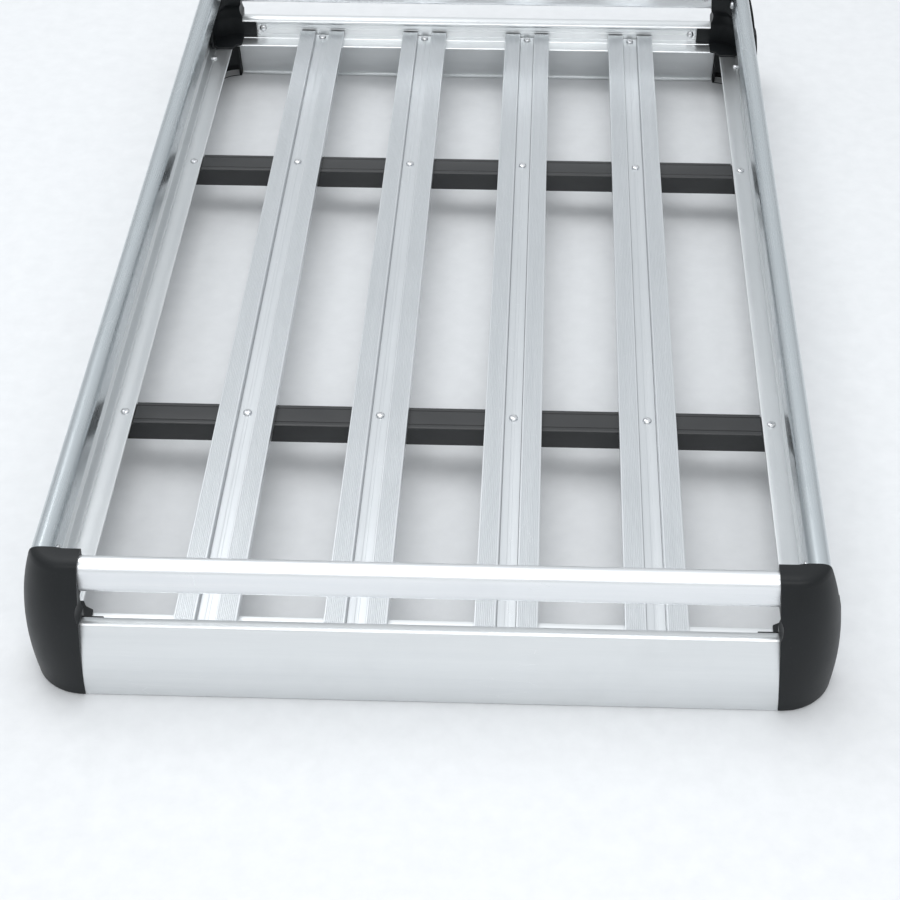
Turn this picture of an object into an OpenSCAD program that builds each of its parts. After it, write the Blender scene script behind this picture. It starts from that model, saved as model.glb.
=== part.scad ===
// Roof cargo basket: an aluminium floor and rails joined by moulded corner caps.
// Units are millimetres. X is across the vehicle, Y runs along it, Z is up.
// The origin is at the middle of the footprint, level with the lower edge of the panels.

/* [Basket] */
// distance from the middle to the inner face of a side panel
half_w = 423; // [380:1:480]
// distance from the middle to the inner face of an end panel
half_l = 666; // [600:1:800]
// height of the slat tops above the lower edge of the panels
floor_z = 84; // [82:1:86]

/* [Upper rails] */
// height of the rail centre line above the slat tops
rail_rise = 76; // [74:1:82]
// width of the flat-oval rail
rail_w = 24.4; // [22:0.2:24.6]
// height of the flat-oval rail
rail_h = 44; // [40:1:44]
// wall of the rail tube
rail_wall = 2; // [1.6:0.1:2.4]

/* [Panels] */
// width of the floor flange inboard of the wall
flange_w = 30; // [26:1:32]
// thickness of the floor flange
flange_t = 3; // [2.5:0.1:3]
// wall thickness of the hollow panel
panel_wall = 2.2; // [1.8:0.1:2.6]

/* [Floor] */
// spacing of the slats
slat_pitch = 166; // [150:1:175]
// width of a slat
slat_w = 70.6; // [60:0.2:76]
// width of the recessed middle web
web_w = 22.6; // [18:0.2:26]
// height of a slat
slat_h = 10; // [9:0.5:12]
// distance from the middle to each crossbar
bar_y = 288; // [220:1:360]
// width of a crossbar
bar_w = 40; // [36:1:50]
// height of a crossbar
bar_h = 28; // [26:1:40]

/* [Fixings] */
// diameter of the screw shanks
screw_d = 6; // [5:0.5:6]
// diameter of the screw heads
head_d = 11; // [10:0.5:12]
// diameter of the clamp holes in the crossbars
clamp_d = 8.5; // [8.5:0.5:10.5]
// spacing of the clamp holes along a crossbar
clamp_x = 700; // [560:10:740]

/* [Hidden] */

$fn = 96;
alu = "#c9ced3";
black = "#22262a";
zinc = "#b4b8bb";

// the wall section is drawn as [d, z]: d is outward from the inner face of the wall
rail_d = -7;
rail_z = floor_z + rail_rise;
flange_z = floor_z - slat_h;
inner_d = 5;
lip_z = floor_z + 12.6;
crest_z = floor_z + 20.4;
skin_top = lip_z - 4.4;
// the bowed outer skin of a panel is one arc
skin_r = 180.9;
skin_c = [28.4 - skin_r, 34];
// the outer skin of a cap is a prouder, taller arc
cap_r = 385;
cap_c = [29.6 - cap_r, 46.5];
cap_top = rail_z + rail_h / 2 + 2.5;
cap_wall = 3;
cap_axis = 34;
fit_gap = 0.4;
// gap between the end of a rail or panel and the corner axis
end_gap = 0.5;
// clearance holes in rails and panels, and in slats and their flanges
close_d = screw_d + 0.4;
free_d = screw_d + 0.6;

// the outer mouth of a cap leans: its distance from the corner axis at the top and at the foot
mouth_top = 18.7;
mouth_foot = 2.2;
// reach of the cap's inner leaf along an end wall and along a side wall
mouth_in = 33;
leaf_in = 12;
spigot = 56;
// the block over the panels stands between the back plane and the corner
back_d = -21.8;
block_z = 113;
side_rail_in = 2;

axis_x = half_w - cap_axis;
axis_y = half_l - cap_axis;
web_t = 2;
groove_d = -6.6;
groove_w = 2.4;
bar_top = flange_z;
slat_end_y = half_l - 5.4;

head_t = 3.4;
nut_t = 5;
nut_af = 10;

module oval(w, h) {
    hull_len = (h - w) / 2;
    translate([0, hull_len]) circle(d = w);
    translate([0, -hull_len]) circle(d = w);
    square([w, h - w], center = true);
}

// ---------- panel section ----------
module lip_2d() {
    polygon([
        [inner_d, skin_top], [18.6, skin_top], [17.8, crest_z - 9], [17, crest_z - 6],
        [16.4, crest_z - 3], [14.6, crest_z - 0.8], [12, crest_z], [8.6, crest_z - 0.4],
        [4.6, lip_z + 6], [1.6, lip_z + 4], [0, lip_z + 1.8], [0, lip_z], [0.6, lip_z - 1],
    ]);
}

module skin_2d(inset) {
    intersection() {
        translate(skin_c) circle(r = skin_r - inset, $fn = 180);
        translate([inner_d + inset, inset]) square([40, skin_top - 2 * inset]);
    }
}

module panel_2d() {
    difference() {
        union() {
            skin_2d(0);
            lip_2d();
            translate([-flange_w, flange_z - flange_t]) square([flange_w + inner_d + 1, flange_t]);
            translate([-flange_w, flange_z - flange_t / 2]) circle(d = flange_t, $fn = 32);
        }
        difference() {
            skin_2d(panel_wall);
            translate([0, flange_z - flange_t]) square([60, flange_t]);
        }
        translate([groove_d - groove_w / 2, flange_z - 1]) square([groove_w, 2]);
    }
}

module spigot_2d(low) {
    intersection() {
        skin_2d(panel_wall + fit_gap);
        if (low) square([60, flange_z - flange_t - fit_gap]);
        else translate([0, flange_z + fit_gap]) square([60, 60]);
    }
}

// place a [d, z] section so that it runs along Y on the right-hand side
module run_y(y0, y1) {
    translate([half_w, y1, 0]) rotate([90, 0, 0]) linear_extrude(y1 - y0) children();
}

// place a [d, z] section so that it runs along X on the rear side
module run_x(x0, x1) {
    translate([x0, half_l, 0]) rotate([90, 0, 90]) linear_extrude(x1 - x0) children();
}

module rail_2d(extra) {
    translate([rail_d, rail_z]) oval(rail_w + extra, rail_h + extra);
}

module rail_tube_2d() {
    difference() {
        rail_2d(0);
        rail_2d(-2 * rail_wall);
    }
}

module rail_spigot_2d() {
    difference() {
        rail_2d(-2 * (rail_wall + fit_gap));
        rail_2d(-2 * (rail_wall + fit_gap + cap_wall));
    }
}

// ---------- cap sections ----------
module cap_disc(inset) {
    translate(cap_c) circle(r = cap_r - inset, $fn = 360);
}

module cap_2d() {
    intersection() {
        cap_disc(0);
        polygon([
            [2, 0], [60, 0], [60, cap_top - 9], [7.2, cap_top - 9], [4, cap_top - 3.6],
            [-1, cap_top - 0.6], [-7, cap_top], [-14, cap_top - 0.2], [-19.6, cap_top - 0.9],
            [-21.4, cap_top - 2.4], [-21.8, cap_top - 5], [-21.8, rail_z - 14], [-19, rail_z - 22],
            [-14, rail_z - 28], [-8, rail_z - 34], [-4, crest_z + 7], [-3, crest_z + 1],
            [-3, flange_z - 4], [2, flange_z - 8],
        ]);
    }
}

module cap_core_2d() {
    intersection() {
        cap_disc(cap_wall);
        polygon([
            [inner_d, -1], [60, -1], [60, cap_top - 10], [4.6, cap_top - 10],
            [-1, cap_top - 5], [-7, cap_top - 4], [-14, cap_top - 6], [-18, cap_top - 11],
            [-18, rail_z - 13], [-11, rail_z - 26], [-5, rail_z - 33], [-0.5, crest_z + 8],
            [0.5, flange_z - 2], [inner_d, flange_z - 6],
        ]);
    }
}

module panel_room_2d() {
    skin_2d(-fit_gap);
    translate([8.3, crest_z - 6]) scale([1.06, 1.08]) translate([-8.3, 6 - crest_z]) lip_2d();
    translate([-60, flange_z - flange_t - 1.5]) square([60 + inner_d + 1, flange_t + 1.5 + 0.3]);
}

module rail_room_2d() {
    rail_2d(2 * fit_gap);
}

// the sleeve of a cap around one rail and one panel, drawn as a section
module sleeve_2d() {
    difference() {
        cap_2d();
        panel_room_2d();
        rail_room_2d();
    }
}

module inner_sleeve_2d() {
    intersection() {
        sleeve_2d();
        translate([-30, flange_z - 6]) square([30 + 0.3, crest_z - 6 - flange_z]);
    }
}

// everything on a cap that runs along Y from the corner towards the middle
module cap_arm_y() {
    difference() {
        run_y(axis_y - mouth_top, axis_y) sleeve_2d();
        translate([half_w, 0, 0]) rotate([90, 0, 90]) mouth_cut(axis_y);
        translate([axis_x - 40, 0, block_z]) cube([150, axis_y + 1, 90]);
    }
    run_y(axis_y - leaf_in, axis_y) inner_sleeve_2d();
    run_y(axis_y - spigot, axis_y + 0.5) panel_tongues_2d();
    run_y(rail_y_end + 4 - spigot, rail_y_end + 4) rail_spigot_2d();
}

module cap_arm_x() {
    difference() {
        run_x(axis_x - mouth_top, axis_x) sleeve_2d();
        translate([0, half_l, 0]) rotate([90, 0, 0]) mouth_cut(axis_x);
    }
    run_x(axis_x - mouth_in, axis_x) inner_sleeve_2d();
    run_x(axis_x - spigot, axis_x + 0.5) {
        panel_tongues_2d();
        rail_spigot_2d();
    }
}

// what the leaning mouth takes off a sleeve that ends at the corner axis
module mouth_cut(axis) {
    linear_extrude(160, center = true)
        polygon([
            [axis - 60, -1], [axis - mouth_foot, -1],
            [axis - mouth_top, cap_top + 1], [axis - 60, cap_top + 1],
        ]);
}

module panel_tongues_2d() {
    difference() {
        spigot_2d(true);
        translate([inner_d, 0]) tongue_room(panel_wall + fit_gap + cap_wall);
    }
    spigot_2d(false);
    translate([-20, flange_z - flange_t - 5.4]) square([23, 5]);
}

// the room left inside the lower tongue
module tongue_room(inset) {
    translate([inset, inset]) square([11, flange_z - flange_t - fit_gap - 2 * inset]);
}

// floor of the cap: a web across the inside of the corner, resting on the two flanges
module cap_floor() {
    in_x = half_w - flange_w - 1;
    in_y = half_l - flange_w - 1;
    y_mouth = axis_y - leaf_in;
    x_mouth = axis_x - leaf_in;
    translate([0, 0, flange_z + 0.3])
        linear_extrude(3)
        polygon([
            [in_x - 2, y_mouth], [half_w + groove_d, y_mouth], [half_w + groove_d, axis_y - 8],
            [half_w + 2, axis_y - 8], [half_w + 2, half_l + 2], [x_mouth, half_l + 2],
            [x_mouth, in_y - 2], [in_x - 6, y_mouth + 8],
        ]);
}

// the rounded corner, cut back to the back plane above the side panel
module cap_corner() {
    difference() {
        translate([axis_x, axis_y, 0])
            rotate_extrude(angle = 90) translate([cap_axis, 0]) cap_2d();
        translate([axis_x - 10, axis_y - 10, block_z])
            cube([110, half_l + back_d - axis_y + 10, 90]);
    }
}

module cap_corner_core() {
    intersection() {
        translate([axis_x, axis_y, 0])
            rotate_extrude(angle = 90) translate([cap_axis, 0]) cap_core_2d();
        union() {
            translate([axis_x + cap_wall, axis_y + cap_wall, -5]) cube([90, 90, crest_z + 5]);
            translate([axis_x + cap_wall, rail_y_end + 4, -5]) cube([90, 90, cap_top + 10]);
        }
    }
}

// the pocket round the end of the side rail, with the tongue left standing in it
module side_rail_bore() {
    run_y(half_l + back_d - 5, rail_y_end + fit_gap)
        difference() {
            rail_room_2d();
            rail_2d(-2 * (rail_wall + fit_gap));
        }
}

module cap_pilots() {
    translate([panel_screw_x, half_l + inner_d - 1, panel_screw_z])
        rotate([-90, 0, 0]) cylinder(h = 14, d = screw_d);
    translate([half_w + groove_d, flange_screw_y, flange_z - 20]) cylinder(h = 22, d = screw_d);
    translate([rail_screw_x, half_l + rail_d - rail_w / 2 - 1, rail_z])
        rotate([-90, 0, 0]) cylinder(h = 11, d = screw_d);
    translate([half_w + rail_d - rail_w / 2 - 1, rail_screw_y, rail_z])
        rotate([0, 90, 0]) cylinder(h = 11, d = screw_d);
}

panel_screw_x = axis_x - mouth_in - 10;
panel_screw_z = floor_z + 1;
flange_screw_y = axis_y - mouth_in - 8;
rail_screw_x = axis_x - mouth_top - 8;
rail_screw_y = axis_y - 8;
// the side rails end a little way inside the back plane
rail_y_end = half_l + back_d + side_rail_in;

module corner_cap() {
    color(black)
        difference() {
            union() {
                cap_corner();
                cap_arm_x();
                cap_arm_y();
                cap_floor();
            }
            cap_corner_core();
            side_rail_bore();
            cap_pilots();
        }
}

module corner_cap_rear_right() {
    corner_cap();
}
module corner_cap_rear_left() {
    mirror([1, 0, 0]) corner_cap();
}
module corner_cap_front_right() {
    mirror([0, 1, 0]) corner_cap();
}
module corner_cap_front_left() {
    rotate([0, 0, 180]) corner_cap();
}

// ---------- rails ----------
module rail_x() {
    reach = axis_x - end_gap;
    color(alu)
        difference() {
            run_x(-reach, reach) rail_tube_2d();
            for (s = [-1, 1])
                translate([s * rail_screw_x, half_l + rail_d - rail_w, rail_z])
                    rotate([-90, 0, 0]) cylinder(h = rail_w, d = close_d);
        }
}

module rail_y() {
    reach = rail_y_end;
    color(alu)
        difference() {
            run_y(-reach, reach) rail_tube_2d();
            for (s = [-1, 1])
                translate([half_w + rail_d - rail_w, s * rail_screw_y, rail_z])
                    rotate([0, 90, 0]) cylinder(h = rail_w, d = close_d);
        }
}

module upper_rail_rear() {
    rail_x();
}
module upper_rail_front() {
    rotate([0, 0, 180]) rail_x();
}
module upper_rail_right() {
    rail_y();
}
module upper_rail_left() {
    rotate([0, 0, 180]) rail_y();
}

// ---------- panels ----------
module panel_x() {
    reach = axis_x - end_gap;
    color(alu)
        difference() {
            run_x(-reach, reach) panel_2d();
            for (s = [-1, 1])
                translate([s * panel_screw_x, half_l, panel_screw_z])
                    rotate([-90, 0, 0]) cylinder(h = 9, d = close_d);
            for (i = [0:3])
                translate([slat_x(i), slat_end_y, flange_z - 10])
                    cylinder(h = 20, d = free_d);
        }
}

module panel_y() {
    reach = axis_y - end_gap;
    color(alu)
        difference() {
            run_y(-reach, reach) panel_2d();
            for (s = [-1, 1]) {
                translate([half_w + groove_d, s * flange_screw_y, flange_z - 10])
                    cylinder(h = 20, d = close_d);
                translate([flange_bar_x, s * bar_y, flange_z - 10])
                    cylinder(h = 20, d = free_d);
            }
        }
}

module lower_panel_rear() {
    panel_x();
}
module lower_panel_front() {
    rotate([0, 0, 180]) panel_x();
}
module lower_panel_right() {
    panel_y();
}
module lower_panel_left() {
    rotate([0, 0, 180]) panel_y();
}

// ---------- floor ----------
function slat_x(i) = (i - 1.5) * slat_pitch;

strip_w = (slat_w - web_w) / 2;
flange_bar_x = half_w - 20;
rib_n = 10;
rib_h = 0.4;

module strip_2d() {
    pitch = (strip_w - 3.4) / rib_n;
    difference() {
        square([strip_w, slat_h]);
        translate([1.6, 1.6]) square([strip_w - 3.2, slat_h - 3.6]);
        for (k = [0:rib_n - 1])
            translate([1.7 + (k + 0.3) * pitch, slat_h - rib_h]) square([pitch * 0.4, 1]);
    }
}

module floor_slat(i) {
    strip_end = half_l;
    web_end = half_l + 1.5;
    color(alu)
        translate([slat_x(i), 0, flange_z])
        difference() {
            union() {
                for (s = [0, 1])
                    mirror([s, 0, 0])
                        translate([web_w / 2, strip_end, 0])
                        rotate([90, 0, 0]) linear_extrude(2 * strip_end) strip_2d();
                translate([-web_w / 2 - 1, -web_end, 0]) cube([web_w + 2, 2 * web_end, web_t]);
            }
            for (y = [-slat_end_y, -bar_y, bar_y, slat_end_y])
                translate([0, y, -1]) cylinder(h = web_t + 2, d = free_d);
        }
}

module floor_slat_1() {
    floor_slat(0);
}
module floor_slat_2() {
    floor_slat(1);
}
module floor_slat_3() {
    floor_slat(2);
}
module floor_slat_4() {
    floor_slat(3);
}

bar_len = 2 * (half_w + 1);
bar_wall = 2.5;
bar_roof = 4;
bar_groove_y = bar_w / 2 - 7;

module bar_2d() {
    difference() {
        translate([-bar_w / 2, -bar_h]) square([bar_w, bar_h]);
        translate([-bar_w / 2 + bar_wall, -bar_h + bar_wall + 1])
            square([bar_w - 2 * bar_wall, bar_h - bar_wall - 1 - bar_roof]);
        for (s = [-1, 1])
            translate([s * bar_groove_y - groove_w / 2, -1]) square([groove_w, 2]);
    }
}

module crossbar(s) {
    color(black)
        translate([0, s * bar_y, bar_top])
        difference() {
            translate([-bar_len / 2, 0, 0]) rotate([90, 0, 90]) linear_extrude(bar_len) bar_2d();
            for (m = [0, 1])
                mirror([m, 0, 0]) {
                    translate([half_w - flange_w - flange_t, -bar_w, -flange_t])
                        cube([80, 2 * bar_w, 10]);
                    translate([flange_bar_x, 0, -14]) cylinder(h = 20, d = screw_d);
                    translate([clamp_x / 2, 0, -bar_h - 1]) cylinder(h = 8, d = clamp_d);
                }
            for (i = [0:3]) translate([slat_x(i), 0, -14]) cylinder(h = 20, d = screw_d);
        }
}

module crossbar_front() {
    crossbar(-1);
}
module crossbar_rear() {
    crossbar(1);
}

// ---------- fixings ----------
// a pan-head screw with a cross recess, head upward, seated at z = 0
module pan_screw(len) {
    difference() {
        union() {
            intersection() {
                cylinder(h = head_t, d = head_d);
                translate([0, 0, head_t - 8.6]) sphere(r = 8.6, $fn = 64);
            }
            translate([0, 0, -len]) cylinder(h = len + 0.5, d = screw_d);
        }
        for (a = [0, 90])
            rotate([0, 0, a]) translate([-2.6, -0.6, head_t - 1.8]) cube([5.2, 1.2, 3]);
    }
}

module hex_nut() {
    difference() {
        cylinder(h = nut_t, d = nut_af / cos(30), $fn = 6);
        translate([0, 0, -1]) cylinder(h = nut_t + 2, d = screw_d);
    }
}

web_top = flange_z + web_t;

module end_screws(s) {
    color(zinc)
        for (i = [0:3]) translate([slat_x(i), s * slat_end_y, web_top]) pan_screw(14);
}

module end_nuts(s) {
    color(zinc)
        for (i = [0:3])
            translate([slat_x(i), s * slat_end_y, flange_z - flange_t - nut_t]) hex_nut();
}

module bar_screws(s) {
    color(zinc)
        for (i = [0:3]) translate([slat_x(i), s * bar_y, web_top]) pan_screw(12);
}

module slat_end_screws_front() {
    end_screws(-1);
}
module slat_end_screws_rear() {
    end_screws(1);
}
module slat_end_nuts_front() {
    end_nuts(-1);
}
module slat_end_nuts_rear() {
    end_nuts(1);
}
module slat_bar_screws_front() {
    bar_screws(-1);
}
module slat_bar_screws_rear() {
    bar_screws(1);
}

module flange_bar_screws(s) {
    color(zinc)
        for (t = [-1, 1]) translate([s * flange_bar_x, t * bar_y, flange_z]) pan_screw(13);
}

module flange_bar_screws_left() {
    flange_bar_screws(-1);
}
module flange_bar_screws_right() {
    flange_bar_screws(1);
}

module flange_cap_screws(s) {
    color(zinc)
        for (t = [-1, 1])
            translate([s * (half_w + groove_d), t * flange_screw_y, flange_z]) pan_screw(9);
}

module flange_cap_screws_left() {
    flange_cap_screws(-1);
}
module flange_cap_screws_right() {
    flange_cap_screws(1);
}

module panel_cap_screws_rear() {
    color(zinc)
        for (s = [-1, 1])
            translate([s * panel_screw_x, half_l + inner_d, panel_screw_z])
                rotate([90, 0, 0]) pan_screw(10);
}
module panel_cap_screws_front() {
    mirror([0, 1, 0]) panel_cap_screws_rear();
}

module rail_cap_screws_rear() {
    color(zinc)
        for (s = [-1, 1])
            translate([s * rail_screw_x, half_l + rail_d - rail_w / 2, rail_z])
                rotate([90, 0, 0]) pan_screw(8);
}
module rail_cap_screws_front() {
    mirror([0, 1, 0]) rail_cap_screws_rear();
}
module rail_cap_screws_right() {
    color(zinc)
        for (s = [-1, 1])
            translate([half_w + rail_d - rail_w / 2, s * rail_screw_y, rail_z])
                rotate([0, -90, 0]) pan_screw(8);
}
module rail_cap_screws_left() {
    mirror([1, 0, 0]) rail_cap_screws_right();
}

upper_rail_front();
upper_rail_rear();
upper_rail_left();
upper_rail_right();
lower_panel_front();
lower_panel_rear();
lower_panel_left();
lower_panel_right();
corner_cap_front_left();
corner_cap_front_right();
corner_cap_rear_left();
corner_cap_rear_right();
floor_slat_1();
floor_slat_2();
floor_slat_3();
floor_slat_4();
crossbar_front();
crossbar_rear();
slat_end_screws_front();
slat_end_screws_rear();
slat_end_nuts_front();
slat_end_nuts_rear();
slat_bar_screws_front();
slat_bar_screws_rear();
flange_bar_screws_left();
flange_bar_screws_right();
panel_cap_screws_front();
panel_cap_screws_rear();
flange_cap_screws_left();
flange_cap_screws_right();
rail_cap_screws_front();
rail_cap_screws_rear();
rail_cap_screws_left();
rail_cap_screws_right();
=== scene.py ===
"""Looks for the roof cargo basket: detailed extrusions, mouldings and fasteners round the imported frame."""

import math

import bmesh
import bpy
from mathutils import Matrix, Vector
from mathutils.geometry import tessellate_polygon


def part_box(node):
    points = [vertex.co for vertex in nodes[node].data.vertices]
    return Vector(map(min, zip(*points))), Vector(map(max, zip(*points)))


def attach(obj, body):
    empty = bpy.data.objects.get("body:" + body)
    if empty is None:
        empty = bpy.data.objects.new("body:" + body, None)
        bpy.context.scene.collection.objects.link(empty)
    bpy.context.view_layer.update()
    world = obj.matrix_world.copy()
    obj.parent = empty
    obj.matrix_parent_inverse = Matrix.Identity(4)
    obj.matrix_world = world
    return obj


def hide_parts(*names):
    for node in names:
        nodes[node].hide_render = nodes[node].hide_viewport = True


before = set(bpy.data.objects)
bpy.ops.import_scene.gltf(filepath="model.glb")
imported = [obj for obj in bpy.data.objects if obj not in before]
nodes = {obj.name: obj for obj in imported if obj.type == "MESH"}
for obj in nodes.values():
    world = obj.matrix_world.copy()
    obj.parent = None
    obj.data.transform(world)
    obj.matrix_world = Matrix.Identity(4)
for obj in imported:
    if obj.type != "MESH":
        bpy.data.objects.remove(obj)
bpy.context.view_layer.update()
MM = 0.001


def size(node):
    """Lowest and highest corner of a CAD node, in millimetres."""
    lo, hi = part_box(node)
    return lo / MM, hi / MM


# ---------------------------------------------------------------- places, in millimetres
rail_lo, rail_hi = size("upper_rail_right")
panel_lo, panel_hi = size("lower_panel_right")
end_panel_hi = size("lower_panel_rear")[1]
cap_hi = size("corner_cap_rear_right")[1]
slat_lo, slat_hi = size("floor_slat_1")
bar_lo, bar_hi = size("crossbar_rear")

BULGE = 28.4  # the bowed skin stands this far outside the wall datum
WALL_X = panel_hi.x - BULGE
WALL_Y = end_panel_hi.y - BULGE
END_GAP = 0.5
AXIS_X = end_panel_hi.x + END_GAP
AXIS_Y = panel_hi.y + END_GAP
CORNER_R = WALL_X - AXIS_X

RAIL_W = rail_hi.x - rail_lo.x
RAIL_H = rail_hi.z - rail_lo.z
RAIL_D = (rail_hi.x + rail_lo.x) / 2 - WALL_X
RAIL_Z = (rail_hi.z + rail_lo.z) / 2
RAIL_WALL = 2.0

CREST_Z = panel_hi.z
LIP_Z = CREST_Z - 7.8
SKIN_TOP = LIP_Z - 4.4
FLANGE_Z = slat_lo.z
FLANGE_T = 3.0
FLANGE_W = WALL_X - panel_lo.x - FLANGE_T / 2
INNER_D = 5.0
SKIN_R, SKIN_C = 180.9, (BULGE - 180.9, 34.0)
GROOVE_D, GROOVE_W = -6.6, 2.4

CAP_R = 385.0
CAP_C = (29.6 - CAP_R, 46.5)
CAP_TOP = cap_hi.z
MOUTH_TOP, MOUTH_FOOT = 18.7, 2.2  # the mouths lean
MOUTH_IN, LEAF_IN = 33.0, 12.0
BACK_D, BLOCK_Z = -21.8, 113.0
SIDE_RAIL_END = rail_hi.y
SPIGOT = 56.0

SLAT_H = slat_hi.z - slat_lo.z
SLAT_W = slat_hi.x - slat_lo.x
WEB_W, WEB_T, WEB_END = 22.6, 2.0, slat_hi.y
STRIP_W = (SLAT_W - WEB_W) / 2
STRIP_END = WALL_Y

BAR_GROOVE, BAR_WALL = 13.0, 2.5
HEAD_T, HEAD_D, SCREW_D = 3.4, 11.0, 6.0
NUT_H, NUT_ACROSS = 5.0, 10.0
CLAMP_X, CLAMP_D = 350.0, 8.5


# ---------------------------------------------------------------- outlines
def rounded(points, steps=4):
    """A closed outline from (x, z, radius) corners, each corner turned by a short curve."""
    out = []
    n = len(points)
    for i, (x, z, r) in enumerate(points):
        p = Vector((x, z))
        a = Vector(points[i - 1][:2]) - p
        b = Vector(points[(i + 1) % n][:2]) - p
        if r <= 0 or a.length < 1e-6 or b.length < 1e-6:
            out.append((x, z))
            continue
        turn = a.angle(b)
        cut = min(r / max(math.tan(turn / 2), 1e-3), 0.48 * a.length, 0.48 * b.length)
        s, e = p + a.normalized() * cut, p + b.normalized() * cut
        for k in range(steps + 1):
            t = k / steps
            q = s * (1 - t) ** 2 + p * 2 * t * (1 - t) + e * t * t
            out.append((q.x, q.y))
    return out


def bow(centre, radius, z0, z1, count):
    """Points up the outward side of a large circle."""
    zs = [z0 + (z1 - z0) * k / count for k in range(count + 1)]
    return [(centre[0] + math.sqrt(radius**2 - (z - centre[1]) ** 2), z) for z in zs]


def grown(loop, by):
    """The outline moved outward by a distance (inward if negative)."""
    n = len(loop)
    area = sum(loop[i][0] * loop[(i + 1) % n][1] - loop[(i + 1) % n][0] * loop[i][1] for i in range(n))
    side = 1 if area > 0 else -1
    out = []
    for i in range(n):
        a, p, b = Vector(loop[i - 1]), Vector(loop[i]), Vector(loop[(i + 1) % n])
        u, v = (p - a), (b - p)
        if u.length < 1e-9 or v.length < 1e-9:
            u = v = u if u.length > v.length else v
        u.normalize()
        v.normalize()
        m = Vector((u.y + v.y, -u.x - v.x)) * side
        m = m.normalized() if m.length > 1e-9 else Vector((u.y, -u.x)) * side
        k = by / max(m.dot(Vector((u.y, -u.x)) * side), 0.5)
        out.append((p.x + m.x * k, p.y + m.y * k))
    return out


def hull(points):
    """The convex outline round a set of points, counter-clockwise."""
    def turns_right(a, b, c):
        return (b[0] - a[0]) * (c[1] - a[1]) <= (b[1] - a[1]) * (c[0] - a[0])

    def half(run):
        out = []
        for p in run:
            while len(out) > 1 and turns_right(out[-2], out[-1], p):
                out.pop()
            out.append(p)
        return out[:-1]

    run = sorted(set(points))
    return half(run) + half(run[::-1])


def smooth(points, rounds=2):
    """Corner cutting along an open run of points. The two ends stay."""
    for _ in range(rounds):
        out = [points[0]]
        for (ax, az), (bx, bz) in zip(points, points[1:]):
            out.append((ax * 0.75 + bx * 0.25, az * 0.75 + bz * 0.25))
            out.append((ax * 0.25 + bx * 0.75, az * 0.25 + bz * 0.75))
        points = out + [points[-1]]
    return points


def oval(w, h, count=20):
    """A flat-sided tube outline about the origin."""
    r, s = w / 2, (h - w) / 2
    top = [(r * math.cos(a), s + r * math.sin(a)) for a in [math.pi * k / count for k in range(count + 1)]]
    return top + [(-x, -z) for x, z in top]


def panel_outline():
    skin = bow(SKIN_C, SKIN_R, 2.0, SKIN_TOP, 26)
    foot = rounded([(INNER_D, 0, 1.2), (skin[0][0], 0, 2.2), (skin[1][0], skin[1][1], 0)])[:-1]
    lip = smooth(
        [
            skin[-1], (17.8, CREST_Z - 9), (17, CREST_Z - 6), (16.4, CREST_Z - 3), (14.6, CREST_Z - 0.7),
            (12, CREST_Z), (8.6, CREST_Z - 0.3), (4.6, LIP_Z + 6), (1.4, LIP_Z + 4), (0, LIP_Z + 1.8),
            (0.1, LIP_Z), (0.9, LIP_Z - 1), (INNER_D, SKIN_TOP),
        ]
    )
    g0, g1 = GROOVE_D + GROOVE_W / 2, GROOVE_D - GROOVE_W / 2
    low = FLANGE_Z - FLANGE_T
    nose = [
        (-FLANGE_W - math.sin(a) * FLANGE_T / 2, low + FLANGE_T / 2 + math.cos(a) * FLANGE_T / 2)
        for a in [math.pi * k / 8 for k in range(9)]
    ]
    inside = rounded(
        [
            (INNER_D, SKIN_TOP - 6, 0), (INNER_D, 86.4, 0.2), (INNER_D + 0.5, 86.0, 0.2),
            (INNER_D + 0.5, 84.8, 0.2), (INNER_D, 84.4, 0.2), (INNER_D, FLANGE_Z, 1.6),
            (g0, FLANGE_Z, 0.3), (g0 - 0.5, FLANGE_Z - 1, 0.2),
            (g1 + 0.5, FLANGE_Z - 1, 0.2), (g1, FLANGE_Z, 0.3), (-FLANGE_W + 5, FLANGE_Z, 0),
        ],
        3,
    )
    under = [(INNER_D - 1.4, low), (INNER_D - 0.4, low - 0.4), (INNER_D, low - 1.4)]
    return foot + skin[1:-1] + lip + inside[1:] + nose + under


def cap_outline():
    outer = bow(CAP_C, CAP_R, 4.0, CAP_TOP - 12, 30)
    foot = rounded([(2, 0, 0.8), (outer[0][0], 0, 4.5), (outer[1][0], outer[1][1], 0)], 5)[:-1]
    crown = smooth(
        [
            outer[-1], (7.2, CAP_TOP - 8.2), (4.6, CAP_TOP - 3.0), (-1, CAP_TOP - 0.5), (-7, CAP_TOP),
            (-14, CAP_TOP - 0.2), (-19.8, CAP_TOP - 0.6), (-21.6, CAP_TOP - 2.2),
            (BACK_D, CAP_TOP - 5), (BACK_D, RAIL_Z - 13),
            (-19.4, RAIL_Z - 21), (-14.5, RAIL_Z - 27.5), (-8.4, RAIL_Z - 34), (-4.4, CREST_Z + 7),
            (-3, CREST_Z + 1), (-3, FLANGE_Z - 3), (-1, FLANGE_Z - 7), (2, FLANGE_Z - 9),
        ],
        3,
    )
    return foot + outer[1:-1] + crown


def core_outline():
    outer = bow(CAP_C, CAP_R - 3, -2, CAP_TOP - 14, 24)
    crown = smooth(
        [
            outer[-1], (3.6, CAP_TOP - 8), (-1, CAP_TOP - 5), (-7, CAP_TOP - 4), (-14, CAP_TOP - 6),
            (-18, CAP_TOP - 11), (-18, RAIL_Z - 13), (-11, RAIL_Z - 26), (-5, RAIL_Z - 33),
            (-0.5, CREST_Z + 8), (0.5, FLANGE_Z - 2), (INNER_D, FLANGE_Z - 6), (INNER_D, -2),
        ],
        2,
    )
    return outer + crown[1:]


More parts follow.
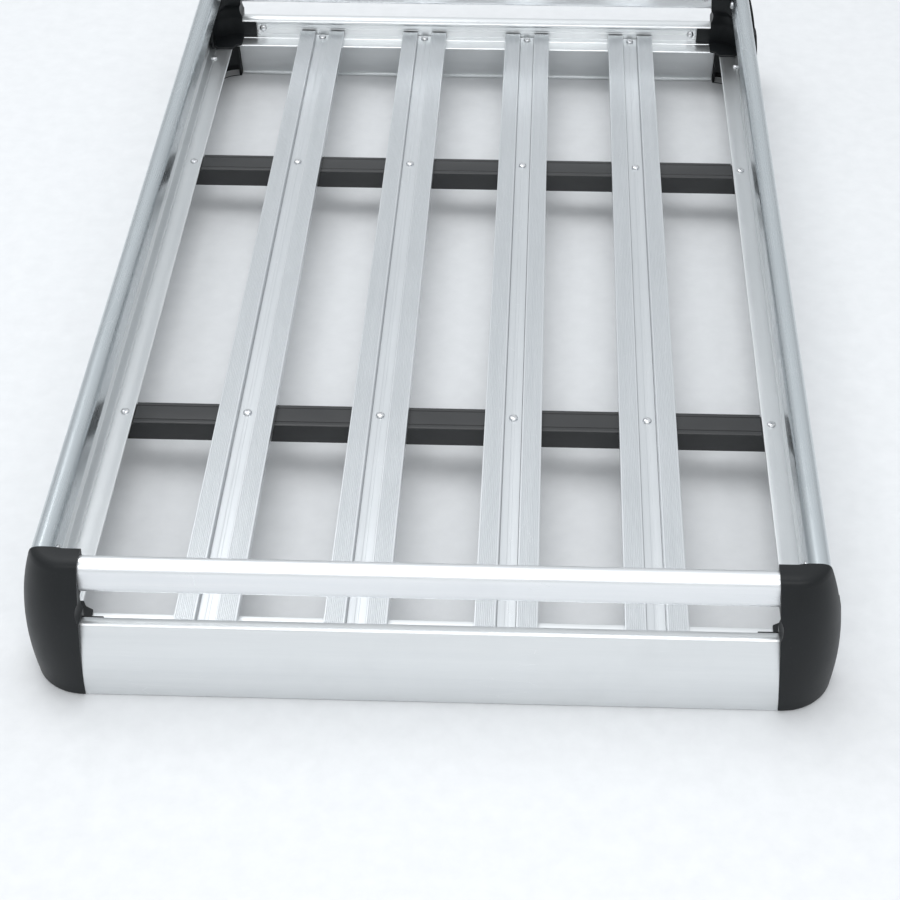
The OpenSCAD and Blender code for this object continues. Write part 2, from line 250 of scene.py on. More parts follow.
def slat_strip():
    """One ribbed hollow strip, from the web outward, with its floor at zero."""
    ribs, depth = 10, 0.45
    a, b = WEB_W / 2, SLAT_W / 2
    pitch = (STRIP_W - 3.4) / ribs
    top = [(b, SLAT_H, 0.7)]
    for k in reversed(range(ribs)):
        x = a + 1.7 + (k + 0.5) * pitch
        top += [
            (x + 0.32 * pitch, SLAT_H, 0.15), (x + 0.12 * pitch, SLAT_H - depth, 0.15),
            (x - 0.12 * pitch, SLAT_H - depth, 0.15), (x - 0.32 * pitch, SLAT_H, 0.15),
        ]
    inner = [(a, SLAT_H, 0.7), (a, WEB_T, 0.8), (a - 1, WEB_T, 0)]
    return rounded([(a - 1, 0, 0), (b, 0, 0.6)] + top + inner, 2)


def slat_hollow():
    a, b = WEB_W / 2 + 1.6, SLAT_W / 2 - 1.6
    return rounded([(a, 1.6, 0.5), (b, 1.6, 0.5), (b, SLAT_H - 2, 0.5), (a, SLAT_H - 2, 0.5)], 3)


def bar_outline(top):
    """The crossbar section about its own middle, as (y, z) below the flange level."""
    w, h, g = (bar_hi.y - bar_lo.y) / 2, bar_hi.z - bar_lo.z, BAR_GROOVE
    points = [(-w, -h, 2.2), (w, -h, 2.2), (w, top, 2.2)]
    if top == 0:
        for s in (1, -1):
            points += [
                (s * g + 1.2, 0, 0.2), (s * g + 0.8, -1, 0.2),
                (s * g - 0.8, -1, 0.2), (s * g - 1.2, 0, 0.2),
            ]
    return rounded(points + [(-w, top, 2.2)])


def bar_hollow():
    w, h = (bar_hi.y - bar_lo.y) / 2 - BAR_WALL, bar_hi.z - bar_lo.z
    return rounded([(-w, -h + 3.5, 1.2), (w, -h + 3.5, 1.2), (w, -4, 1.2), (-w, -4, 1.2)])


# ---------------------------------------------------------------- mesh building
def close_end(bm, rings):
    """Fills between an outline and the outlines of its hollows. A face that is there already is left."""
    flat = [v for ring in rings for v in ring]
    try:
        for tri in tessellate_polygon([[v.co for v in ring] for ring in rings]):
            bm.faces.new([flat[i] for i in tri])
    except ValueError:
        pass


def sweep(bm, loops, stations, ends=True):
    """Skins closed outlines through stations. A station turns (d, z) into a point in millimetres."""
    for n_loop, loop in enumerate(loops):
        rings = []
        for n_station, place in enumerate(stations):
            source = loop[n_station] if isinstance(loop[0], list) else loop
            rings.append([bm.verts.new(Vector(place(d, z)) * MM) for d, z in source])
        for r0, r1 in zip(rings, rings[1:]):
            count = len(r0)
            for i in range(count):
                j = (i + 1) % count
                bm.faces.new((r0[i], r0[j], r1[j], r1[i]))
        loops[n_loop] = (rings[0], rings[-1])
    if ends:
        close_end(bm, [pair[0] for pair in loops])
        close_end(bm, [pair[1] for pair in loops])


def along_x(x, sign=1):
    """Section across a rear (or, with sign -1, front) wall at x."""
    return lambda d, z: (sign * x, sign * (WALL_Y + d), z)


def along_y(y, sign=1):
    return lambda d, z: (sign * (WALL_X + d), sign * y, z)


def spaced(a, b, count):
    return [a + (b - a) * k / count for k in range(count + 1)]


def finish_mesh(bm, name, material, angle=32, turn=None):
    bmesh.ops.remove_doubles(bm, verts=bm.verts, dist=1e-7)
    bmesh.ops.dissolve_degenerate(bm, edges=bm.edges, dist=1e-8)
    if turn is not None:
        bmesh.ops.transform(bm, matrix=turn, verts=bm.verts)
    bmesh.ops.recalc_face_normals(bm, faces=bm.faces)
    mesh = bpy.data.meshes.new(name)
    bm.to_mesh(mesh)
    bm.free()
    for p in mesh.polygons:
        p.use_smooth = True
    mesh.set_sharp_from_angle(angle=math.radians(angle))
    obj = bpy.data.objects.new(name, mesh)
    bpy.context.scene.collection.objects.link(obj)
    if material is not None:
        mesh.materials.append(material)
    return obj


def stands_for(obj, node):
    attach(obj, "root")
    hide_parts(node)
    return obj


def carve(obj, cutters, operation="DIFFERENCE"):
    """Boolean of closed meshes, applied at once."""
    for cutter in cutters:
        m = obj.modifiers.new("carve", "BOOLEAN")
        m.operation, m.solver, m.object = operation, "EXACT", cutter
    bpy.context.view_layer.update()
    done = bpy.data.meshes.new_from_object(obj.evaluated_get(bpy.context.evaluated_depsgraph_get()))
    obj.modifiers.clear()
    old = obj.data
    obj.data = done
    bpy.data.meshes.remove(old)
    for cutter in cutters:
        bpy.data.objects.remove(cutter)
    return obj


# ---------------------------------------------------------------- materials
class Shade:
    """A small helper round one node material."""

    def __init__(self, name):
        self.material = bpy.data.materials.new(name)
        self.material.use_nodes = True
        self.tree = self.material.node_tree
        self.surface = self.tree.nodes["Principled BSDF"]
        self.where = self.tree.nodes.new("ShaderNodeTexCoord").outputs["Object"]

    def node(self, kind, **values):
        n = self.tree.nodes.new(kind)
        for k, v in values.items():
            if k in n.inputs:
                n.inputs[k].default_value = v
            else:
                setattr(n, k, v)
        return n

    def link(self, a, b):
        self.tree.links.new(a, b)

    def stretched(self, scale, turn=(0, 0, 0)):
        m = self.node("ShaderNodeMapping")
        m.inputs["Scale"].default_value = scale
        m.inputs["Rotation"].default_value = turn
        self.link(self.where, m.inputs["Vector"])
        return m.outputs["Vector"]

    def noise(self, vector, scale, detail=2.0, rough=0.5):
        n = self.node("ShaderNodeTexNoise", Scale=scale, Detail=detail, Roughness=rough)
        self.link(vector, n.inputs["Vector"])
        return n.outputs["Fac"]

    def ramp(self, fac, stops):
        n = self.node("ShaderNodeMapRange", clamp=True)
        for k, v in zip(("From Min", "From Max", "To Min", "To Max"), stops):
            n.inputs[k].default_value = v
        self.link(fac, n.inputs["Value"])
        return n.outputs["Result"]

    def math(self, operation, a, b):
        n = self.node("ShaderNodeMath", operation=operation)
        for socket, v in zip(n.inputs, (a, b)):
            if isinstance(v, (int, float)):
                socket.default_value = v
            else:
                self.link(v, socket)
        return n.outputs[0]

    def mix(self, fac, a, b):
        n = self.node("ShaderNodeMix", data_type="RGBA")
        self.link(fac, n.inputs[0])
        for socket, v in ((n.inputs[6], a), (n.inputs[7], b)):
            if isinstance(v, tuple):
                socket.default_value = (*v, 1)
            else:
                self.link(v, socket)
        return n.outputs[2]

    def bump(self, height, distance, strength=1.0, under=None):
        n = self.node("ShaderNodeBump", Strength=strength, Distance=distance)
        self.link(height, n.inputs["Height"])
        if under is not None:
            self.link(under, n.inputs["Normal"])
        return n.outputs["Normal"]

    def done(self, colour, rough, normal, **fixed):
        self.link(colour, self.surface.inputs["Base Color"])
        self.link(rough, self.surface.inputs["Roughness"])
        self.link(normal, self.surface.inputs["Normal"])
        for k, v in fixed.items():
            self.surface.inputs[k.replace("_", " ")].default_value = v
        return self.material


def aluminium(name, axis, light, dark, rough, streaks=1.0):
    """Extruded satin aluminium. Draw lines run along the axis, with smudges and fine scratches over them."""
    s = Shade(name)
    along = tuple(1.0 if k == axis else 60.0 for k in "xyz")
    lines = s.noise(s.stretched(along), 24, 4, 0.62)
    wide = s.noise(s.stretched(tuple(0.35 if k == axis else 12.0 for k in "xyz")), 9, 2)
    cloud = s.noise(s.where, 7, 4, 0.6)
    grain = s.noise(s.where, 2600, 2, 0.6)
    scratch = s.node("ShaderNodeTexVoronoi", feature="DISTANCE_TO_EDGE", Scale=14, Randomness=1.0)
    s.link(s.stretched((1, 7, 5) if axis == "x" else (7, 1, 5), (0.2, 0.1, 0.5)), scratch.inputs["Vector"])
    thin = s.ramp(scratch.outputs["Distance"], (0.0, 0.006, 1, 0))
    rare = s.ramp(s.noise(s.where, 11, 2), (0.56, 0.62, 0, 1))
    scuff = s.math("MULTIPLY", thin, rare)
    tone = s.math("ADD", s.ramp(lines, (0.2, 0.8, 0.2, 0.6)), s.ramp(wide, (0.3, 0.7, 0, 0.3)))
    colour = s.mix(tone, dark, light)
    colour = s.mix(s.ramp(cloud, (0.52, 0.8, 0, 0.3)), colour, tuple(c * 0.86 for c in dark))
    colour = s.mix(s.math("MULTIPLY", scuff, 0.5), colour, (0.96, 0.97, 0.98))
    smudge = s.ramp(cloud, (0.4, 0.75, -0.02, 0.07))
    r = s.math("ADD", s.ramp(lines, (0.3, 0.7, rough - 0.03, rough + 0.03)), smudge)
    r = s.math("ADD", r, s.math("MULTIPLY", scuff, -0.12))
    n = s.bump(lines, 0.00002 * streaks, 0.5)
    n = s.bump(grain, 0.00002, 0.35, n)
    n = s.bump(scuff, -0.00003, 0.5, n)
    return s.done(colour, r, n, Metallic=1.0)


def plastic(name):
    """Moulded black plastic with a fine grain, pale rubs and a little dust."""
    s = Shade(name)
    grain = s.noise(s.where, 1500, 3, 0.6)
    cloud = s.noise(s.where, 16, 5, 0.6)
    dust = s.ramp(s.noise(s.where, 420, 2, 0.7), (0.66, 0.76, 0, 1))
    rub = s.ramp(s.noise(s.stretched((1, 1, 0.25)), 60, 5, 0.75), (0.6, 0.78, 0, 1))
    colour = s.mix(s.ramp(cloud, (0.3, 0.7, 0, 1)), (0.0050, 0.0062, 0.0070), (0.0085, 0.0100, 0.0112))
    colour = s.mix(s.math("MULTIPLY", rub, 0.22), colour, (0.032, 0.035, 0.038))
    colour = s.mix(s.math("MULTIPLY", dust, 0.12), colour, (0.12, 0.12, 0.115))
    r = s.math("ADD", s.ramp(cloud, (0.3, 0.7, 0.40, 0.50)), s.math("MULTIPLY", rub, 0.1))
    n = s.bump(grain, 0.00006, 0.45)
    n = s.bump(cloud, 0.0003, 0.1, n)
    return s.done(colour, r, n, IOR=1.46, Specular_IOR_Level=0.3)


def powder(name):
    """Black powder coat with its orange-peel surface."""
    s = Shade(name)
    peel = s.noise(s.where, 620, 2, 0.45)
    cloud = s.noise(s.where, 9, 4, 0.6)
    speck = s.ramp(s.noise(s.where, 900, 1), (0.72, 0.8, 0, 1))
    colour = s.mix(s.ramp(cloud, (0.3, 0.7, 0, 1)), (0.014, 0.015, 0.016), (0.024, 0.025, 0.026))
    colour = s.mix(s.math("MULTIPLY", speck, 0.25), colour, (0.12, 0.12, 0.12))
    r = s.ramp(cloud, (0.3, 0.7, 0.34, 0.5))
    n = s.bump(peel, 0.0002, 0.35)
    return s.done(colour, r, n, IOR=1.5)


def zinc(name):
    """Zinc-plated steel, mottled, with tool marks in the bright faces."""
    s = Shade(name)
    mottle = s.noise(s.where, 420, 4, 0.65)
    tint = s.noise(s.where, 150, 2)
    rings = s.noise(s.stretched((1, 1, 6)), 2200, 2)
    colour = s.mix(s.ramp(mottle, (0.35, 0.65, 0, 1)), (0.5, 0.51, 0.53), (0.76, 0.77, 0.78))
    colour = s.mix(s.ramp(tint, (0.5, 0.75, 0, 0.3)), colour, (0.66, 0.63, 0.53))
    r = s.ramp(mottle, (0.35, 0.65, 0.24, 0.4))
    n = s.bump(rings, 0.00004, 0.4)
    return s.done(colour, r, n, Metallic=1.0)


# All four upper rails are one extrusion. The end rails get a lighter tone as painted light, for the bright
# sky they face. The side rails get a darker tone as painted shade, for the dark ground they reflect.
END_RAIL_PAINTED_LIGHT_TONES = (0.88, 0.89, 0.90), (0.78, 0.80, 0.82)
SIDE_RAIL_PAINTED_SHADE_TONES = (0.58, 0.62, 0.64), (0.50, 0.54, 0.56)
PANEL_TONES = (0.80, 0.815, 0.82), (0.72, 0.74, 0.75)
SLAT_TONES = (0.70, 0.72, 0.735), (0.60, 0.625, 0.64)
# The end-rail material is the painted-light copy of the rail finish, and the side-rail material is the
# painted-shade copy.
rail_x_painted_light = aluminium("rail_aluminium_x_painted_light", "x", *END_RAIL_PAINTED_LIGHT_TONES, 0.36)
rail_y_painted_shade = aluminium("rail_aluminium_y_painted_shade", "y", *SIDE_RAIL_PAINTED_SHADE_TONES, 0.27)
panel_x = aluminium("panel_aluminium_x", "x", *PANEL_TONES, 0.4)
panel_y = aluminium("panel_aluminium_y", "y", *PANEL_TONES, 0.4)
slat_skin = aluminium("slat_aluminium_y", "y", *SLAT_TONES, 0.36, 1.6)
cap_skin = plastic("cap_moulded_plastic")
bar_skin = powder("crossbar_powder_coat")
screw_skin = zinc("zinc_plate")


# ---------------------------------------------------------------- rails and panels
def straight(name, loops, walls, span, sign, material):
    bm = bmesh.new()
    sweep(bm, [list(l) for l in loops], [walls(t, sign) for t in spaced(-span, span, 6)])
    return stands_for(finish_mesh(bm, name + "_skin", material), name)


rail_loop = [(RAIL_D + x, RAIL_Z + z) for x, z in oval(RAIL_W, RAIL_H)]
rail_bore = [(RAIL_D + x, RAIL_Z + z) for x, z in oval(RAIL_W - 2 * RAIL_WALL, RAIL_H - 2 * RAIL_WALL)]
panel_loop = panel_outline()
tube = [rail_loop, rail_bore]
reach_x, reach_y = AXIS_X - END_GAP, AXIS_Y - END_GAP
for side, sign in (("rear", 1), ("front", -1)):
    # end rails: the painted-light copy of the rail aluminium
    straight("upper_rail_" + side, tube, along_x, reach_x, sign, rail_x_painted_light)
    straight("lower_panel_" + side, [panel_loop], along_x, reach_x, sign, panel_x)
for side, sign in (("right", 1), ("left", -1)):
    # side rails: the painted-shade copy of the rail aluminium
    straight("upper_rail_" + side, tube, along_y, SIDE_RAIL_END, sign, rail_y_painted_shade)
    straight("lower_panel_" + side, [panel_loop], along_y, reach_y, sign, panel_y)


# ---------------------------------------------------------------- floor slats
def slat(name):
    lo, hi = size(name)
    cx = (lo.x + hi.x) / 2
    bm = bmesh.new()
    for s in (1, -1):
        at = [lambda x, z, y=y, s=s: (cx + s * x, y, FLANGE_Z + z) for y in spaced(-STRIP_END, STRIP_END, 6)]
        sweep(bm, [slat_strip(), slat_hollow()], at)
    w = WEB_W / 2 + 0.9
    web = rounded([(-w, 0, 0), (w, 0, 0), (w, WEB_T, 0), (2.2, WEB_T, 0.2), (1.8, WEB_T - 0.25, 0.2),
                   (-1.8, WEB_T - 0.25, 0.2), (-2.2, WEB_T, 0.2), (-w, WEB_T, 0)], 2)
    at = [lambda x, z, y=y: (cx + x, y, FLANGE_Z + z) for y in spaced(-WEB_END, WEB_END, 6)]
    sweep(bm, [web], at)
    return stands_for(finish_mesh(bm, name + "_skin", slat_skin), name)


for k in range(1, 5):
    slat(f"floor_slat_{k}")


# ---------------------------------------------------------------- crossbars
def rod(centre, direction, radius, length, count=48):
    """A closed round cutter that starts at centre."""
    bm = bmesh.new()
    turn = Vector((0, 0, 1)).rotation_difference(Vector(direction)).to_matrix().to_4x4()
    r = radius * MM
    bmesh.ops.create_cone(bm, cap_ends=True, segments=count, radius1=r, radius2=r, depth=length * MM)
    place = Matrix.Translation(Vector(centre) * MM) @ turn @ Matrix.Translation((0, 0, length * MM / 2))
    return finish_mesh(bm, "cutter", None, turn=place)


def joined(objects):
    bm = bmesh.new()
    for o in objects:
        bm.from_mesh(o.data)
        bpy.data.objects.remove(o)
    mesh = bpy.data.meshes.new("joined")
    bm.to_mesh(mesh)
    bm.free()
    return mesh


def crossbar(name):
    lo, hi = size(name)
    cy = (lo.y + hi.y) / 2
    notch = WALL_X - FLANGE_W - FLANGE_T
    parts = []
    for a, b, top in ((-hi.x, -notch, -FLANGE_T), (-notch, notch, 0), (notch, hi.x, -FLANGE_T)):
        bm = bmesh.new()
        hollow = bar_hollow()
        at = [lambda y, z, x=x: (x, cy + y, FLANGE_Z + z) for x in spaced(a, b, 3)]
        sweep(bm, [bar_outline(top), hollow], at)
        parts.append(finish_mesh(bm, "bar", bar_skin))
    carve(parts[1], [rod((x, cy, lo.z - 1), (0, 0, 1), CLAMP_D / 2, 9, 32) for x in (-CLAMP_X, CLAMP_X)])
    bm = bmesh.new()
    bm.from_mesh(joined(parts))
    obj = finish_mesh(bm, name + "_skin", bar_skin)
    return stands_for(obj, name)


for side in ("front", "rear"):
    crossbar("crossbar_" + side)


# ---------------------------------------------------------------- corner caps
def round_path(turn_from=90, turn_to=0, turns=22):
    """Stations from the mouth on the rear wall, round the corner, to the mouth on the side wall."""
    def corner(deg):
        c, s = math.cos(math.radians(deg)), math.sin(math.radians(deg))
        return lambda d, z: (AXIS_X + (CORNER_R + d) * c, AXIS_Y + (CORNER_R + d) * s, z)
    return [corner(a) for a in spaced(turn_from, turn_to, turns)]


def slab(lo, hi):
    """A plain block between two corners, in millimetres."""
    bm = bmesh.new()
    bmesh.ops.create_cube(bm, size=1.0)
    for v in bm.verts:
        v.co = Vector([(h if c > 0 else l) * MM for c, l, h in zip(v.co, lo, hi)])
    return finish_mesh(bm, "cutter", None)


def leaning(axis, place):
    """What the leaning mouth takes off one end of the shell."""
    wedge = [
        (axis - 60, -2), (axis - MOUTH_FOOT, -2),
        (axis - MOUTH_TOP, CAP_TOP + 2), (axis - 60, CAP_TOP + 2),
    ]
    bm = bmesh.new()
    rows = [[bm.verts.new(Vector(place(a, w, z)) * MM) for a, z in wedge] for w in (-90, 90)]
    for i in range(4):
        bm.faces.new((rows[0][i], rows[0][(i + 1) % 4], rows[1][(i + 1) % 4], rows[1][i]))
    bm.faces.new(rows[0])
    bm.faces.new(rows[1])
    return finish_mesh(bm, "cutter", None)


def at_end(a, w, z):
    return a, WALL_Y + w, z


def at_side(a, w, z):
    return WALL_X + w, a, z


def cap_cutters():
    made = [leaning(AXIS_X, at_end), leaning(AXIS_Y, at_side)]
    low = FLANGE_Z - FLANGE_T - 0.4
    made.append(slab((AXIS_X - 60, WALL_Y - 40, low), (AXIS_X + 0.5, WALL_Y + 1, FLANGE_Z + 0.3)))
    made.append(slab((WALL_X - 40, AXIS_Y - 60, low), (WALL_X + 1, AXIS_Y + 0.5, FLANGE_Z + 0.3)))
    rail_room = grown(rail_loop, 0.45)
    panel_room = grown(hull([p for p in panel_loop if p[0] > -0.2] + [(-0.2, -0.6), (6.0, -0.6)]), 0.5)
    back = WALL_Y + BACK_D
    made.append(slab((AXIS_X - 12, AXIS_Y - 60, BLOCK_Z), (WALL_X + 60, back, CAP_TOP + 5)))
    for wall, start, end, loop in (
        (along_x, AXIS_X - 60, AXIS_X - 4, rail_room),
        (along_x, AXIS_X - 60, AXIS_X + 0.5, panel_room),
        (along_y, AXIS_Y - 60, AXIS_Y + 0.5, panel_room),
        (along_y, back - 20, SIDE_RAIL_END + 0.5, rail_room),
    ):
        bm = bmesh.new()
        sweep(bm, [list(loop)], [wall(start), wall(end)])
        made.append(finish_mesh(bm, "cutter", None))
    # the mouth curves in between rail and panel
    z0, z1, sag = CREST_Z + 3.0, RAIL_Z - RAIL_H / 2 - 3.0, 3.4
    r = ((z1 - z0) ** 2 / 4 + sag**2) / (2 * sag)
    zc = (z0 + z1) / 2
    mouth = MOUTH_FOOT + (MOUTH_TOP - MOUTH_FOOT) * zc / CAP_TOP
    made.append(rod((AXIS_X - mouth - (r - sag), WALL_Y - 40, zc), (0, 1, 0), r, 90, 128))
    bm = bmesh.new()
    sweep(bm, [core_outline()], round_path(84, 6, 16))
    made.append(carve(finish_mesh(bm, "cutter", None), [slab((0, 0, BLOCK_Z - 10), (600, 900, 300))]))
    return made


def cap_shell():
    outer = cap_outline()
    stations = [along_x(AXIS_X - MOUTH_TOP - 1)] + round_path() + [along_y(AXIS_Y - MOUTH_TOP - 1)]
    bm = bmesh.new()
    sweep(bm, [list(outer)], stations)
    return finish_mesh(bm, "cap", cap_skin)


def plate(outline, z0, z1, edge=0.6):
    """A flat moulded plate with softened edges."""
    bm = bmesh.new()
    levels = [(z0, -edge), (z0 + edge, 0), (z1 - edge, 0), (z1, -edge)]
    rows = [grown(outline, g) for _, g in levels]
    sweep(bm, [rows], [lambda x, y, z=z: (x, y, z) for z, _ in levels])
    return finish_mesh(bm, "plate", cap_skin)


def cap_plates():
    """The web across the inside of the corner, the inner leaves and the tongues under the flanges."""
    in_x, in_y = WALL_X - FLANGE_W - 1, WALL_Y - FLANGE_W - 1
    y_in, x_in = AXIS_Y - LEAF_IN, AXIS_X - MOUTH_IN
    floor = rounded(
        [
            (in_x - 2, y_in, 2), (WALL_X + GROOVE_D, y_in, 2), (WALL_X + GROOVE_D, AXIS_Y - 8, 0),
            (WALL_X + 2, AXIS_Y - 8, 0), (WALL_X + 2, WALL_Y + 2, 0), (AXIS_X - LEAF_IN, WALL_Y + 2, 1),
            (AXIS_X - LEAF_IN, in_y - 2, 2), (in_x - 6, y_in + 8, 3),
        ],
        6,
    )
    made = [plate(floor, FLANGE_Z + 0.3, FLANGE_Z + 3.3)]
    leaf_x = [
        (x_in, WALL_Y - 3), (AXIS_X + 4, WALL_Y - 3), (AXIS_X + 4, WALL_Y + 0.3), (x_in, WALL_Y + 0.3),
    ]
    leaf_y = [
        (WALL_X - 3, y_in), (WALL_X + 0.3, y_in), (WALL_X + 0.3, AXIS_Y + 4), (WALL_X - 3, AXIS_Y + 4),
    ]
    for leaf in (leaf_x, leaf_y):
        made.append(plate(rounded([(x, y, 1.0) for x, y in leaf], 3), FLANGE_Z + 0.3, CREST_Z - 6))
    tongue_x = [
        (AXIS_X - SPIGOT, WALL_Y - 20), (AXIS_X, WALL_Y - 20),
        (AXIS_X, WALL_Y + 3), (AXIS_X - SPIGOT, WALL_Y + 3),
    ]
    tongue_y = [
        (WALL_X - 20, AXIS_Y - SPIGOT), (WALL_X + 3, AXIS_Y - SPIGOT),
        (WALL_X + 3, AXIS_Y), (WALL_X - 20, AXIS_Y),
    ]
    low = FLANGE_Z - FLANGE_T - 0.4
    for tongue in (tongue_x, tongue_y):
        made.append(plate(rounded([(x, y, 2.0) for x, y in tongue], 3), low - 5, low))
    return made


shell = carve(cap_shell(), cap_cutters())
cap_mesh = joined([shell] + cap_plates())
for name, turn in (
    ("corner_cap_rear_right", Matrix.Identity(4)),
    ("corner_cap_rear_left", Matrix.Scale(-1, 4, (1, 0, 0))),
    ("corner_cap_front_right", Matrix.Scale(-1, 4, (0, 1, 0))),
    ("corner_cap_front_left", Matrix.Rotation(math.pi, 4, "Z")),
):
    bm = bmesh.new()
    bm.from_mesh(cap_mesh)
    stands_for(finish_mesh(bm, name + "_skin", cap_skin, 28, turn), name)


# ---------------------------------------------------------------- fasteners
def lathe(bm, profile, count=40):
    """Turns (radius, z) points about Z. A zero radius closes the end."""
    rings = []
    for r, z in profile:
        if r == 0:
            rings.append([bm.verts.new((0, 0, z * MM))])
        else:
            rings.append([
                bm.verts.new((r * MM * math.cos(a), r * MM * math.sin(a), z * MM))
                for a in [2 * math.pi * k / count for k in range(count)]
            ])
    for r0, r1 in zip(rings, rings[1:]):
        for i in range(count):
            j = (i + 1) % count
            a, b, c, d = r0[i % len(r0)], r0[j % len(r0)], r1[j % len(r1)], r1[i % len(r1)]
            bm.faces.new(list(dict.fromkeys((a, b, c, d))))


def cross_recess():
    """Two crossed tapering blades with a centre cone."""
    bm = bmesh.new()
    for turn in (0, math.pi / 2):
        c, s = math.cos(turn), math.sin(turn)
        rows = [(0.9, 0.35, HEAD_T - 2.1), (2.7, 0.62, HEAD_T + 0.6)]
        rings = [
            [
                bm.verts.new(Vector((x * c - y * s, x * s + y * c, z)) * MM)
                for x, y in ((-l, -w), (l, -w), (l, w), (-l, w))
            ]
            for l, w, z in rows
        ]
        for i in range(4):
            bm.faces.new((rings[0][i], rings[0][(i + 1) % 4], rings[1][(i + 1) % 4], rings[1][i]))
        bm.faces.new(rings[0])
        bm.faces.new(rings[1])
    return finish_mesh(bm, "cutter", None)


def screw(length):
    """A pan-head screw, seated at zero with its head up, with a rolled thread."""
    r = HEAD_D / 2
    head = [(0, HEAD_T), (1.2, HEAD_T - 0.03), (2.4, HEAD_T - 0.16), (3.6, HEAD_T - 0.5), (4.5, HEAD_T - 1.0),
            (5.15, HEAD_T - 1.6), (r - 0.03, HEAD_T - 2.3), (r, HEAD_T - 2.8), (r - 0.05, 0.2), (r - 0.25, 0)]
    shank, z = [(SCREW_D / 2, 0)], -1.0
    while z > -length + 1.2:
        shank += [(SCREW_D / 2, z), (SCREW_D / 2 - 0.45, z - 0.5)]
        z -= 1.0
    tip = [(SCREW_D / 2 - 0.5, -length + 0.5), (SCREW_D / 2 - 1.1, -length), (0, -length)]
    bm = bmesh.new()
    lathe(bm, head + shank + tip)
    obj = carve(finish_mesh(bm, "screw", screw_skin), [cross_recess()])
    mesh = obj.data
    bpy.data.objects.remove(obj)
    return mesh


def nut():
    """A hexagon nut with turned chamfers, standing on zero."""
    height, across = NUT_H, NUT_ACROSS
    bm = bmesh.new()
    ring = [
        (math.cos(a) * across / math.sqrt(3), math.sin(a) * across / math.sqrt(3))
        for a in [math.pi * k / 3 for k in range(6)]
    ]
    sweep(bm, [ring], [lambda x, y: (x, y, 0), lambda x, y: (x, y, height)])
    body = finish_mesh(bm, "nut", screw_skin)
    bm = bmesh.new()
    r = across / 2
    chamfers = [(r - 0.1, 0), (r + 0.9, 0.55), (r + 0.9, height - 0.55), (r - 0.1, height)]
    lathe(bm, [(0, 0)] + chamfers + [(0, height)], 64)
    carve(body, [finish_mesh(bm, "cutter", None)], "INTERSECT")
    carve(body, [rod((0, 0, -1), (0, 0, 1), SCREW_D / 2 + 0.05, height + 2)])
    mesh = body.data
    bpy.data.objects.remove(body)
    return mesh


made_screws = {}


def fasten(node, head, count):
    """A row of screws in place of a CAD node. head is the direction that the heads face."""
    lo, hi = size(node)
    axis = max(range(3), key=lambda k: abs(head[k]))
    up = head[axis]
    seat = (hi[axis] if up > 0 else lo[axis]) - up * HEAD_T
    length = round(abs(seat - (lo[axis] if up > 0 else hi[axis])), 2)
    if length not in made_screws:
        made_screws[length] = screw(length)
    row = max((k for k in range(3) if k != axis), key=lambda k: hi[k] - lo[k])
    bm = bmesh.new()
    for k in range(count):
        at = (lo + hi) / 2
        at[axis] = seat
        at[row] = lo[row] + HEAD_D / 2 + (hi[row] - lo[row] - HEAD_D) * k / (count - 1)
        turn = Vector((0, 0, 1)).rotation_difference(Vector(head)).to_matrix().to_4x4()
        spin = Matrix.Rotation(0.5 + 1.1 * k + 0.7 * len(node), 4, "Z")
        start = len(bm.verts)
        bm.from_mesh(made_screws[length])
        bm.verts.ensure_lookup_table()
        bmesh.ops.transform(bm, matrix=Matrix.Translation(at * MM) @ turn @ spin, verts=bm.verts[start:])
    return stands_for(finish_mesh(bm, node + "_skin", screw_skin, 30), node)


def nuts(node, count):
    lo, hi = size(node)
    mesh = nut()
    bm = bmesh.new()
    half = NUT_ACROSS / math.sqrt(3)
    for k in range(count):
        x = lo.x + half + (hi.x - lo.x - 2 * half) * k / (count - 1)
        start = len(bm.verts)
        bm.from_mesh(mesh)
        bm.verts.ensure_lookup_table()
        at = Vector((x, (lo.y + hi.y) / 2, lo.z))
        bmesh.ops.transform(bm, matrix=Matrix.Translation(at * MM), verts=bm.verts[start:])
    return stands_for(finish_mesh(bm, node + "_skin", screw_skin, 30), node)


UP = (0, 0, 1)
for side, inward in (("front", 1), ("rear", -1)):
    fasten("slat_end_screws_" + side, UP, 4)
    fasten("slat_bar_screws_" + side, UP, 4)
    fasten("panel_cap_screws_" + side, (0, inward, 0), 2)
    fasten("rail_cap_screws_" + side, (0, inward, 0), 2)
    nuts("slat_end_nuts_" + side, 4)
for side, inward in (("left", 1), ("right", -1)):
    fasten("flange_bar_screws_" + side, UP, 2)
    fasten("flange_cap_screws_" + side, UP, 2)
    fasten("rail_cap_screws_" + side, (inward, 0, 0), 2)


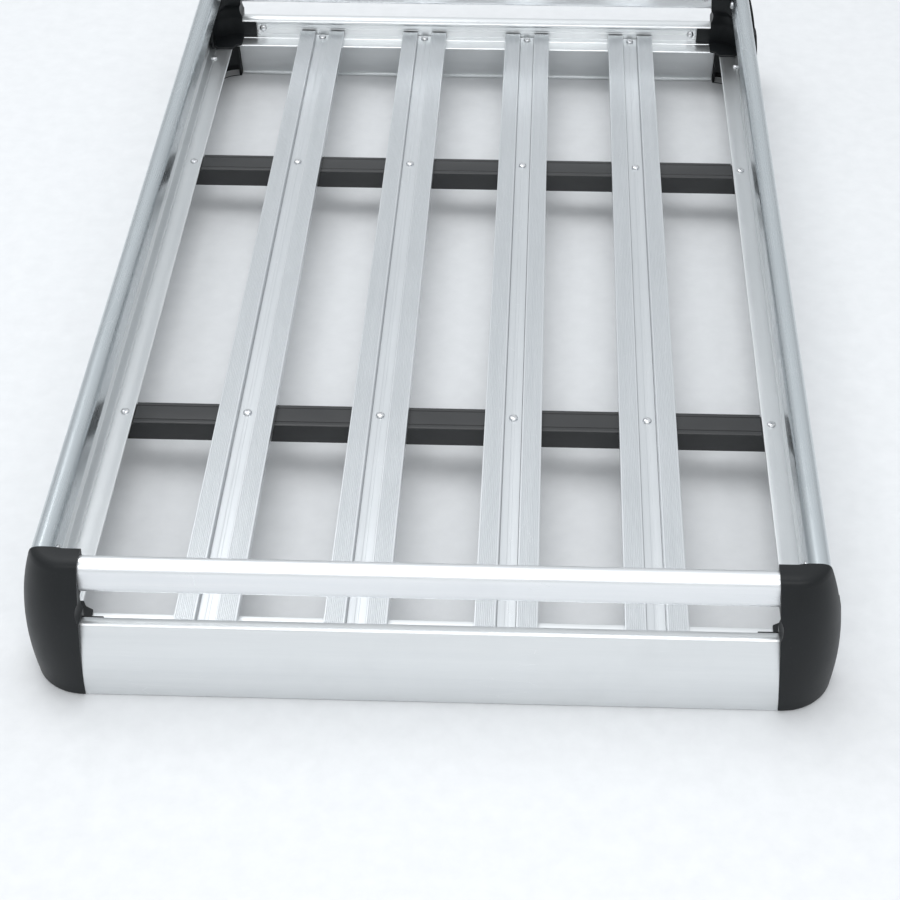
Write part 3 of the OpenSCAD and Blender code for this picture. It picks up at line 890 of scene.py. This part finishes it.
# ---------------------------------------------------------------- floor, light and camera
def floor_material():
    s = Shade("floor_pale")
    fleck = s.noise(s.where, 40, 5, 0.6)
    colour = s.mix(s.ramp(fleck, (0.3, 0.7, 0, 1)), (0.66, 0.67, 0.68), (0.70, 0.71, 0.72))
    return s.done(colour, s.ramp(fleck, (0.3, 0.7, 0.7, 0.8)), s.bump(fleck, 0.0002, 0.2))


bm = bmesh.new()
bmesh.ops.create_grid(bm, x_segments=2, y_segments=2, size=9.0)
floor = finish_mesh(bm, "floor", floor_material())
floor.location.z = -0.0005

world = bpy.data.worlds.new("soft_dome")
bpy.context.scene.world = world
world.use_nodes = True
sky = world.node_tree
back = sky.nodes["Background"]
aim = sky.nodes.new("ShaderNodeTexCoord")
split = sky.nodes.new("ShaderNodeSeparateXYZ")
rise = sky.nodes.new("ShaderNodeMapRange")
rise.inputs["From Min"].default_value = 0.0
rise.inputs["From Max"].default_value = 0.75
rise.inputs["To Min"].default_value = 0.62
rise.inputs["To Max"].default_value = 1.0
sky.links.new(aim.outputs["Generated"], split.inputs["Vector"])
sky.links.new(split.outputs["Z"], rise.inputs["Value"])
sky.links.new(rise.outputs["Result"], back.inputs["Strength"])
back.inputs["Color"].default_value = (0.94, 0.97, 1.0, 1)


def soft_box(name, at, toward, width, height, watts, colour=(1, 1, 1)):
    data = bpy.data.lights.new(name, "AREA")
    data.shape, data.size, data.size_y, data.energy, data.color = "RECTANGLE", width, height, watts, colour
    obj = bpy.data.objects.new(name, data)
    obj.location = at
    obj.rotation_euler = (Vector(toward) - Vector(at)).to_track_quat("-Z", "Y").to_euler()
    bpy.context.scene.collection.objects.link(obj)
    return obj


soft_box("overhead", (-0.5, 0.4, 3.2), (0, 0, 0), 1.3, 3.4, 48, (0.98, 0.99, 1))
soft_box("front_fill", (0.3, -3.2, 2.4), (0, -0.6, 0), 3.2, 1.4, 40)

lens = bpy.data.cameras.new("camera")
lens.sensor_width = 36
lens.sensor_fit = "HORIZONTAL"
lens.lens = 70.17
lens.shift_x = -0.0428
lens.shift_y = 0.1712
camera = bpy.data.objects.new("camera", lens)
camera.location = (0.1092, -1.9704, 1.4853)
camera.rotation_euler = tuple(math.radians(a) for a in (44.004, 0.064, 1.895))
bpy.context.scene.collection.objects.link(camera)
bpy.context.scene.camera = camera
bpy.context.scene.view_settings.view_transform = "Standard"
